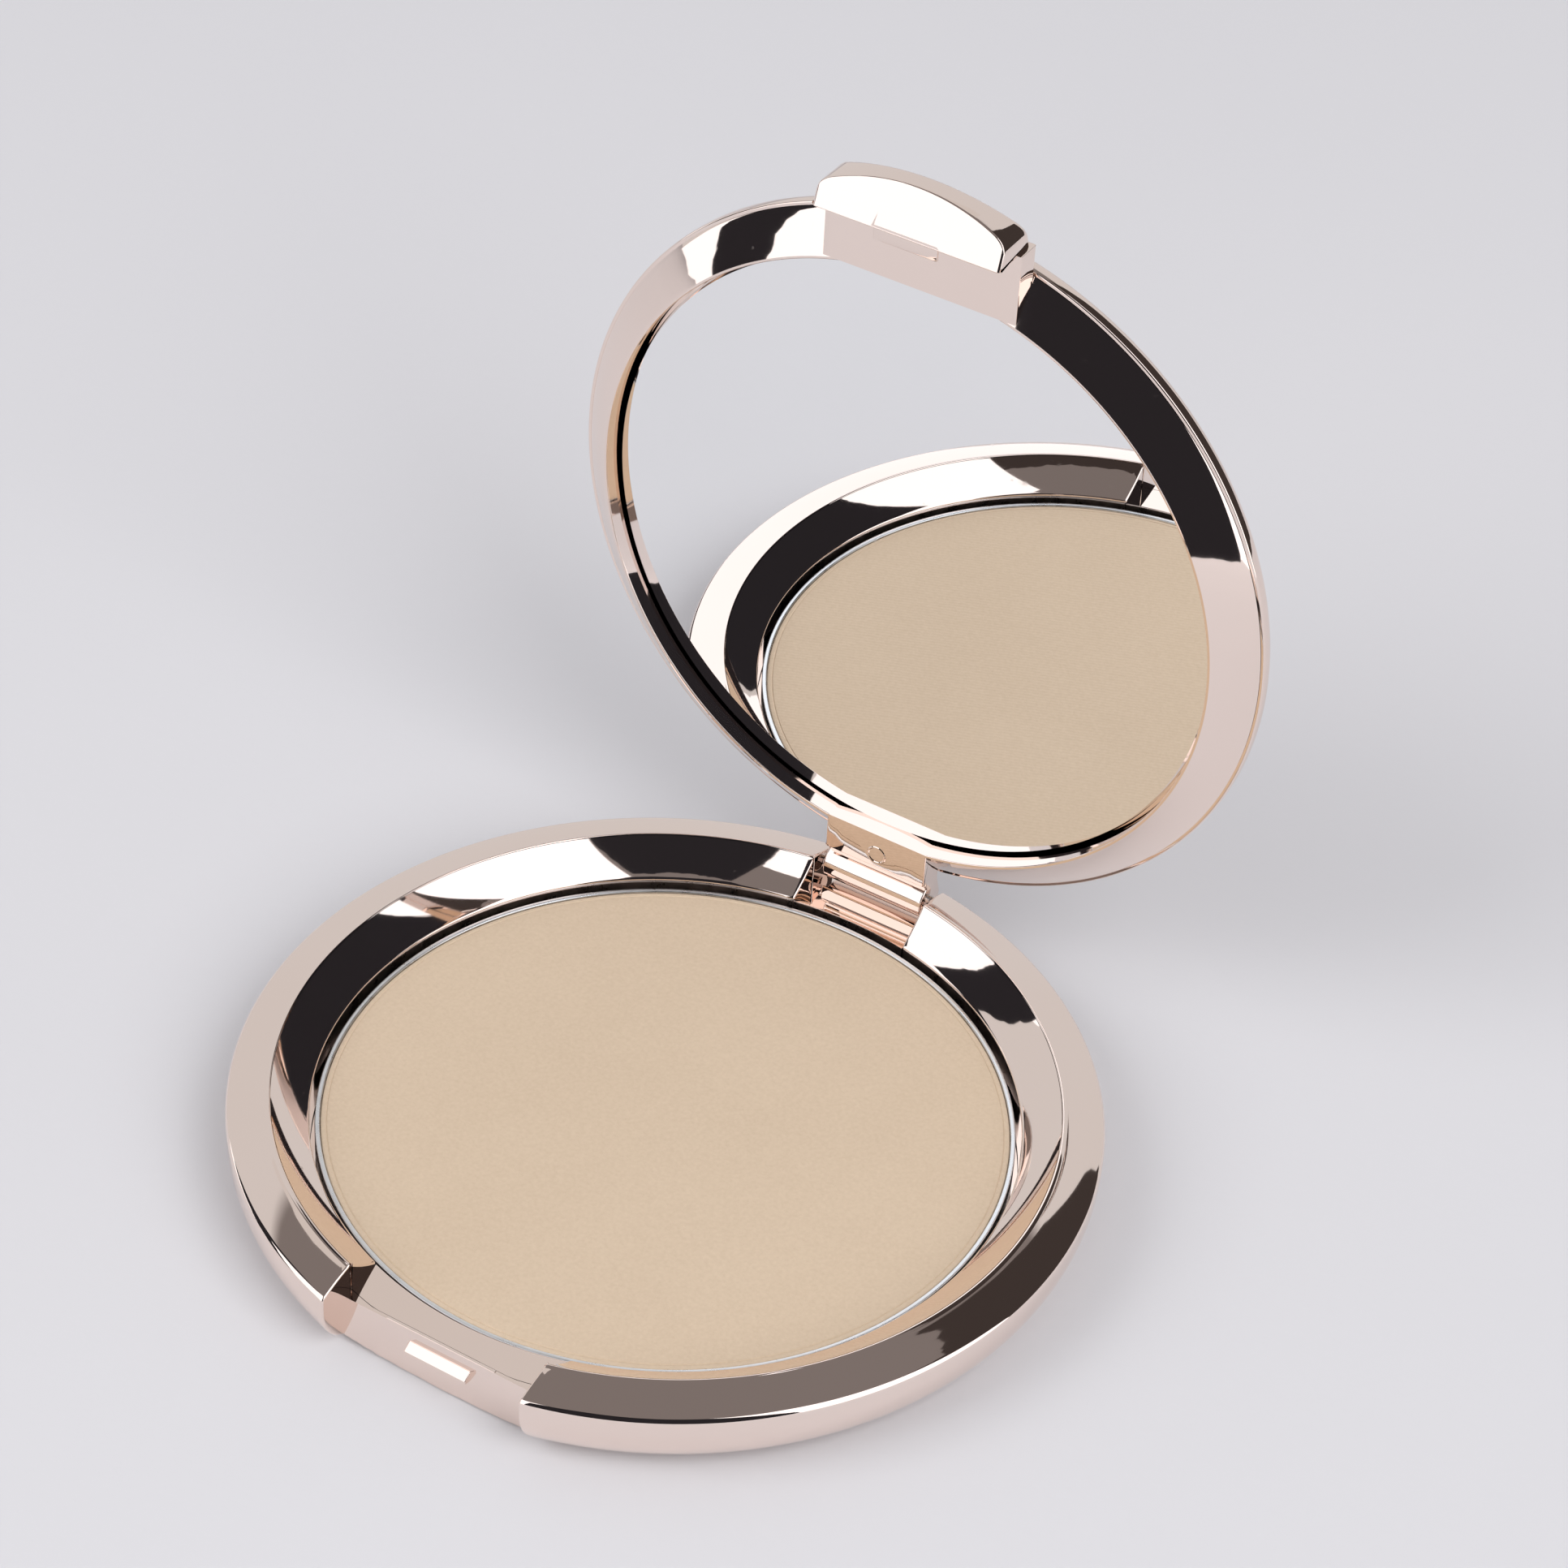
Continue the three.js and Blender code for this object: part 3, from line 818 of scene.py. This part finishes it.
def silvered_glass():
    n = Nodes("silvered_glass")
    n.set(Metallic=1.0)
    haze = n.noise(30.0, 3.0)
    n.feed("Base Color", n.ramp(haze, [(0.3, (0.9, 0.905, 0.91)), (0.7, (0.92, 0.925, 0.93))]))
    n.feed("Roughness", n.ramp(n.noise(600.0, 2.0), [(0.7, 0.0), (0.8, 0.06)]))
    return n.material


def finish_piece(obj, material, body, slot, *nodes):
    obj.data.materials.clear()
    obj.data.materials.append(material)
    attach(obj, body)
    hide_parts(*nodes)


plating = plated()
finish_piece(base_shell(), plating, "base", "rose_gold_plating", "base_shell")
finish_piece(base_frame(), plating, "base", "rose_gold_plating", "base_frame")
finish_piece(powder_pan(), aluminium(), "base", "pan_metal", "powder_pan")
finish_piece(powder_cake(), powder(), "base", "pressed_powder", "powder_cake")
finish_piece(lid_frame(), plating, "lid", "rose_gold_plating", "lid_frame")
finish_piece(lid_cover(), plating, "lid", "rose_gold_plating", "lid_cover")
finish_piece(mirror(), silvered_glass(), "lid", "silvered_glass", "mirror")

film = adhesive()
for node, material in (("pan_pad", film), ("mirror_pad", film), ("hinge_pin", steel())):
    mesh = frame["nodes"][node].data
    mesh.materials.clear()
    mesh.materials.append(material)


# ---- studio, in metres and degrees

EYE_HEIGHT = 0.02
RAGGED_STEP = 1.5
EDGE_SEED = 7

noise.seed_set(EDGE_SEED)


def emitter(name, colour, strength):
    material = bpy.data.materials.new(name)
    material.use_nodes = True
    tree = material.node_tree
    tree.nodes.clear()
    glow = add_node(tree, "ShaderNodeEmission", Color=(*colour, 1), Strength=strength)
    out = add_node(tree, "ShaderNodeOutputMaterial")
    tree.links.new(glow.outputs["Emission"], out.inputs["Surface"])
    return material


def heading(azimuth):
    """Unit vector on the floor: 0 degrees is +Y and 90 degrees is +X."""
    return Vector((math.sin(math.radians(azimuth)), math.cos(math.radians(azimuth)), 0))


def card(name, corners, distance, colour, strength=1.0, ragged=0.0):
    """An upright card facing the compact, seen only in reflections.

    corners go round it as (azimuth, elevation) degrees seen from a point at EYE_HEIGHT over the base's
    middle, and ragged is the wander of its edges in degrees. distance is in metres.
    """
    middle = sum(azimuth for azimuth, elevation in corners) / len(corners)
    spots = []
    for i, (az, el) in enumerate(corners):
        az_next, el_next = corners[(i + 1) % len(corners)]
        steps = max(1, int(math.hypot(az_next - az, el_next - el) / RAGGED_STEP)) if ragged else 1
        for k in range(steps):
            t = k / steps
            spot = Vector((az + (az_next - az) * t, el + (el_next - el) * t, middle))
            wander = noise.noise_vector(spot * 0.22) + noise.noise_vector(spot * 0.8) * 0.4
            spots.append((spot.x + wander.x * ragged, spot.y + wander.y * ragged))
    verts = []
    for az, el in spots:
        away = distance / math.cos(math.radians(az - middle))
        verts.append(heading(az) * away + Vector((0, 0, EYE_HEIGHT + away * math.tan(math.radians(el)))))
    mesh = bpy.data.meshes.new(name)
    mesh.from_pydata(verts, [], [tuple(range(len(verts)))])
    mesh.materials.append(emitter(name, colour, strength))
    obj = bpy.data.objects.new(name, mesh)
    bpy.context.scene.collection.objects.link(obj)
    obj.visible_camera = False
    obj.visible_diffuse = False
    obj.visible_shadow = False
    obj.visible_transmission = False


def area_light(name, azimuth, elevation, distance, size, power):
    """A soft light that the plating doesn't mirror: its card does that."""
    data = bpy.data.lights.new(name, "AREA")
    data.shape = "RECTANGLE"
    data.size, data.size_y = size
    data.energy = power
    obj = bpy.data.objects.new(name, data)
    rise = math.radians(elevation)
    obj.location = heading(azimuth) * distance * math.cos(rise) + Vector((0, 0, distance * math.sin(rise)))
    obj.rotation_euler = (-obj.location).to_track_quat("-Z", "Y").to_euler()
    bpy.context.scene.collection.objects.link(obj)
    obj.visible_glossy = False
    obj.visible_camera = False


def studio_floor():
    half = 3.0
    corners = [(x * half, y * half, 0) for x, y in ((-1, -1), (1, -1), (1, 1), (-1, 1))]
    mesh = bpy.data.meshes.new("floor")
    mesh.from_pydata(corners, [], [(0, 1, 2, 3)])
    obj = bpy.data.objects.new("floor", mesh)
    bpy.context.scene.collection.objects.link(obj)
    n = Nodes("floor")
    n.feed("Base Color", n.ramp(n.noise(6.0), [(0.3, (0.645, 0.638, 0.66)), (0.7, (0.66, 0.653, 0.675))]))
    n.set(Roughness=0.8, Specular_IOR_Level=0.1)
    n.bump(n.noise(900.0, 3.0), 0.03, 0.4)
    mesh.materials.append(n.material)


def studio_world():
    """Pale walls and a darker ceiling in reflections, and an even pale light for everything else."""
    world = bpy.data.worlds.new("studio")
    bpy.context.scene.world = world
    world.use_nodes = True
    tree = world.node_tree
    tree.nodes.clear()
    direction = add_node(tree, "ShaderNodeTexCoord").outputs["Generated"]
    split = add_node(tree, "ShaderNodeSeparateXYZ")
    tree.links.new(direction, split.inputs["Vector"])
    ramp = add_node(tree, "ShaderNodeValToRGB")
    tree.links.new(split.outputs["Z"], ramp.inputs["Fac"])
    walls, ceiling = ramp.color_ramp.elements
    walls.position, walls.color = 0.725, (0.69, 0.685, 0.69, 1)
    ceiling.position, ceiling.color = 0.745, (0.215, 0.198, 0.196, 1)
    mirrored = add_node(tree, "ShaderNodeBackground", Strength=1.0)
    tree.links.new(ramp.outputs["Color"], mirrored.inputs["Color"])
    ambient = add_node(tree, "ShaderNodeBackground", Color=(0.98, 0.975, 1.0, 1), Strength=0.56)
    path = add_node(tree, "ShaderNodeLightPath")
    mix = add_node(tree, "ShaderNodeMixShader")
    tree.links.new(path.outputs["Is Glossy Ray"], mix.inputs["Fac"])
    tree.links.new(ambient.outputs["Background"], mix.inputs[1])
    tree.links.new(mirrored.outputs["Background"], mix.inputs[2])
    out = add_node(tree, "ShaderNodeOutputWorld")
    tree.links.new(mix.outputs["Shader"], out.inputs["Surface"])


BLACK = (0.022, 0.021, 0.025)
BROWN = (0.050, 0.041, 0.039)
GREY = (0.67, 0.65, 0.64)
WHITE = (0.98, 1.0, 1.04)
card("flag_rear", [(16, 28), (12, 33), (7, 45), (4, 60), (70, 60), (70, -2), (34, -2)], 0.40, BROWN, 1.0, 1.2)
card("backdrop_high", [(297, 44), (292, 52), (300, 66), (350, 66), (358, 52), (356, 44)], 1.6, GREY, 1.0, 1.0)
card("softbox_right", [(66, -2), (66, 76), (119, 76), (119, -2)], 0.44, WHITE, 1.5)
card("flag_front", [(118, -2), (118, 40), (122, 74), (181, 74), (181, -2)], 0.38, BLACK, 1.0, 0.8)
card(
    "softbox_left",
    [(181, -2), (181, 60), (255, 62), (262, 32), (270, 14), (270, 3), (255, 3), (250, -2)],
    0.46,
    WHITE,
    1.35,
    0.8,
)
card(
    "flag_left",
    [
        (234, -2), (240, 10), (246, 20), (251, 27), (255, 45), (257, 52),
        (270, 50), (270, 30), (268, 17), (262, 13), (255, 8), (249, -2),
    ],
    0.40,
    BLACK,
    1.0,
    1.1,
)
area_light("key", 112, 42, 1.6, (0.9, 1.25), 16.2)
area_light("fill", 215, 40, 1.6, (0.9, 1.07), 9.5)
studio_floor()
studio_world()


# ---- camera

CAMERA_PLACE = (0.13320, -0.22016, 0.24822)
CAMERA_LENS = 96.69
CAMERA_AZIMUTH = -29.41
CAMERA_DIP = math.radians(38.84)
CAMERA_ROLL = math.radians(3.91)


def camera():
    """Looks down at the open compact from the front right, slightly rolled."""
    data = bpy.data.cameras.new("camera")
    data.sensor_width = 36
    data.lens = CAMERA_LENS
    obj = bpy.data.objects.new("camera", data)
    look = heading(CAMERA_AZIMUTH) * math.cos(CAMERA_DIP) - Vector((0, 0, math.sin(CAMERA_DIP)))
    facing = look.to_track_quat("-Z", "Y").to_matrix() @ Matrix.Rotation(CAMERA_ROLL, 3, "Z")
    obj.matrix_world = Matrix.Translation(CAMERA_PLACE) @ facing.to_4x4()
    bpy.context.scene.collection.objects.link(obj)
    bpy.context.scene.camera = obj


camera()
bpy.context.scene.view_settings.view_transform = "Standard"
